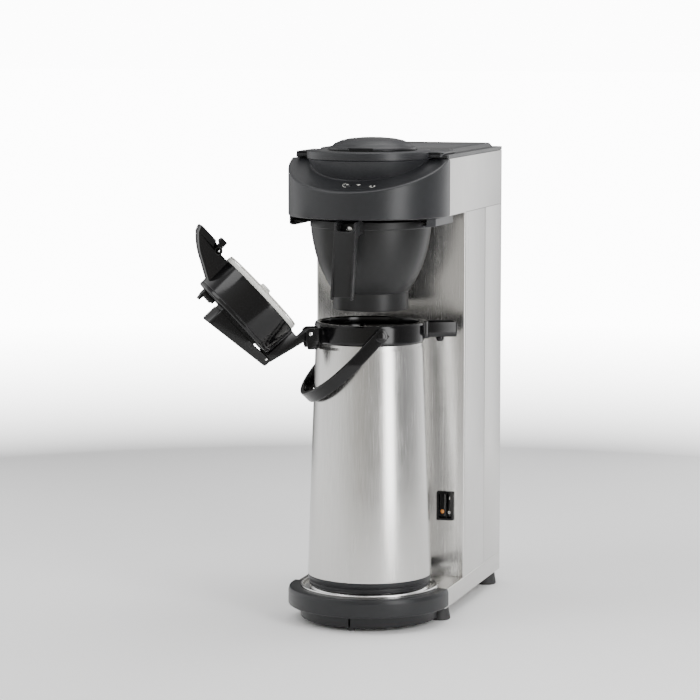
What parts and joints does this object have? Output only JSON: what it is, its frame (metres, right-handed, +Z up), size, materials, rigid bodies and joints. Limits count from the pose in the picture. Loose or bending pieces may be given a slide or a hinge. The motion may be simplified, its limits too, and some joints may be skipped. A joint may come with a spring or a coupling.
{
  "type": "commercial coffee brewer",
  "caption": "Slim upright filter coffee brewer: steel column and base, black rounded head, slide-out filter basket and an insulated airpot with its lid open.",
  "frame": {"origin": "bottom centre of the whole object's box at rest, on the counter", "axes": "+Z up, +X to the machine's right as seen from its front, +Y to the back; the front faces -Y"},
  "size_m": [0.2998, 0.414, 0.5968],
  "materials": {
    "brushed_steel": "fine vertical brush, satin",
    "bright_steel": "polished",
    "aluminium": "cast, matt",
    "black_moulding": "fine-textured dark grey to black",
    "gloss_black": "polished black",
    "basket_black": "satin black",
    "grey_moulding": "satin dark grey",
    "white_plastic": "satin off-white",
    "rubber": "matt",
    "silicone": "translucent milky",
    "amber_lens": "clear amber",
    "circuit_board": "solder mask"
  },
  "bodies": {
    "brewer": {"base_tray": "brushed_steel", "base_plate": "brushed_steel", "base_collar": "black_moulding", "front_pad": "rubber", "airpot_dish": "bright_steel", "foot_front_left": "rubber", "foot_front_right": "rubber", "foot_rear_left": "rubber", "foot_rear_right": "rubber", "column_front_shell": "brushed_steel", "rear_panel": "brushed_steel", "power_inlet": "rubber", "switch_bezel": "gloss_black", "head_shell": "brushed_steel", "head_front": "black_moulding", "ready_lens": "white_plastic", "descale_lens": "white_plastic", "head_base": "black_moulding", "top_cover": "black_moulding", "rear_cover": "grey_moulding", "fill_lid_pin": "bright_steel", "basket_rail_left": "black_moulding", "basket_rail_right": "black_moulding", "water_reservoir": "silicone", "spray_head": "black_moulding", "flow_heater": "aluminium", "riser_tube": "silicone", "supply_hose": "silicone", "heater_bracket": "brushed_steel", "thermostat": "aluminium", "thermal_cutout": "aluminium", "control_board": "circuit_board"},
    "airpot": {"airpot_base": "black_moulding", "airpot_shell": "brushed_steel", "airpot_liner": "bright_steel", "neck_gasket": "silicone", "airpot_collar": "gloss_black", "spout_nozzle": "gloss_black", "siphon_tube": "white_plastic", "bail_pin_front": "gloss_black", "bail_pin_rear": "gloss_black", "lid_hinge_pin": "bright_steel"},
    "airpot_lid": {"lid_shell": "gloss_black", "latch_pin": "bright_steel", "lever_pin": "bright_steel", "lid_inner_disc": "white_plastic", "lid_seal": "silicone", "lid_bellows": "rubber"},
    "bail_handle": {"bail": "gloss_black"},
    "pump": {"pump_lever": "gloss_black"},
    "lock_tab": {"pump_lock": "gloss_black"},
    "latch": {"lid_latch": "gloss_black"},
    "basket": {"filter_basket": "basket_black", "basket_handle": "basket_black", "basket_screw": "bright_steel"},
    "filler_lid": {"fill_lid": "black_moulding"},
    "start_key": {"start_button": "black_moulding"},
    "power_rocker": {"rocker_wide": "gloss_black", "rocker_lens": "amber_lens"},
    "warmer_rocker": {"rocker_narrow": "gloss_black"}
  },
  "joints": [
    {"name": "airpot_slide", "type": "slide", "parent": "brewer", "child": "airpot", "axis": [0, -1, 0], "range_m": [0, 0.4]},
    {"name": "airpot_lid_hinge", "type": "hinge", "parent": "airpot", "child": "airpot_lid", "pos_m": [-0.01973, -0.10837, 0.3585], "axis": [-0.4618, 0.887, 0], "range_deg": [0, 132.5]},
    {"name": "bail_swing", "type": "hinge", "parent": "airpot", "child": "bail_handle", "pos_m": [0.04812, -0.07305, 0.36], "axis": [-0.4618, 0.887, 0], "range_deg": [0, 18]},
    {"name": "pump_press", "type": "hinge", "parent": "airpot_lid", "child": "pump", "pos_m": [-0.06831, -0.13366, 0.32798], "axis": [-0.4618, 0.887, 0], "range_deg": [0, 8], "stiffness_Nm_per_rad": 0.5, "springref_deg": -5.73},
    {"name": "pump_lock_slide", "type": "slide", "parent": "airpot_lid", "child": "lock_tab", "axis": [0.5993, 0.3119, -0.7373], "range_m": [0, 0.004]},
    {"name": "lid_latch_release", "type": "hinge", "parent": "airpot_lid", "child": "latch", "pos_m": [-0.11971, -0.16042, 0.46152], "axis": [0.4618, -0.887, 0], "range_deg": [0, 15], "stiffness_Nm_per_rad": 0.05, "springref_deg": -11.46},
    {"name": "basket_slide", "type": "slide", "parent": "brewer", "child": "basket", "axis": [0, -1, 0], "range_m": [0, 0.2]},
    {"name": "fill_lid_hinge", "type": "hinge", "parent": "brewer", "child": "filler_lid", "pos_m": [0.04812, -0.00505, 0.5845], "axis": [-1, 0, 0], "range_deg": [0, 95]},
    {"name": "start_press", "type": "slide", "parent": "brewer", "child": "start_key", "axis": [0, 0.3437, -0.9391], "range_m": [0, 0.0008], "stiffness_N_per_m": 800},
    {"name": "power_rocker_tilt", "type": "hinge", "parent": "brewer", "child": "power_rocker", "pos_m": [0.12112, 0.02245, 0.13], "axis": [1, 0, 0], "range_deg": [0, 14]},
    {"name": "warmer_rocker_tilt", "type": "hinge", "parent": "brewer", "child": "warmer_rocker", "pos_m": [0.12112, 0.02245, 0.13], "axis": [1, 0, 0], "range_deg": [0, 14]}
  ],
  "couplings": [
    {"joint": "airpot_lid_hinge", "follows": "airpot_slide", "rad_per_m": 5.7813}
  ]
}
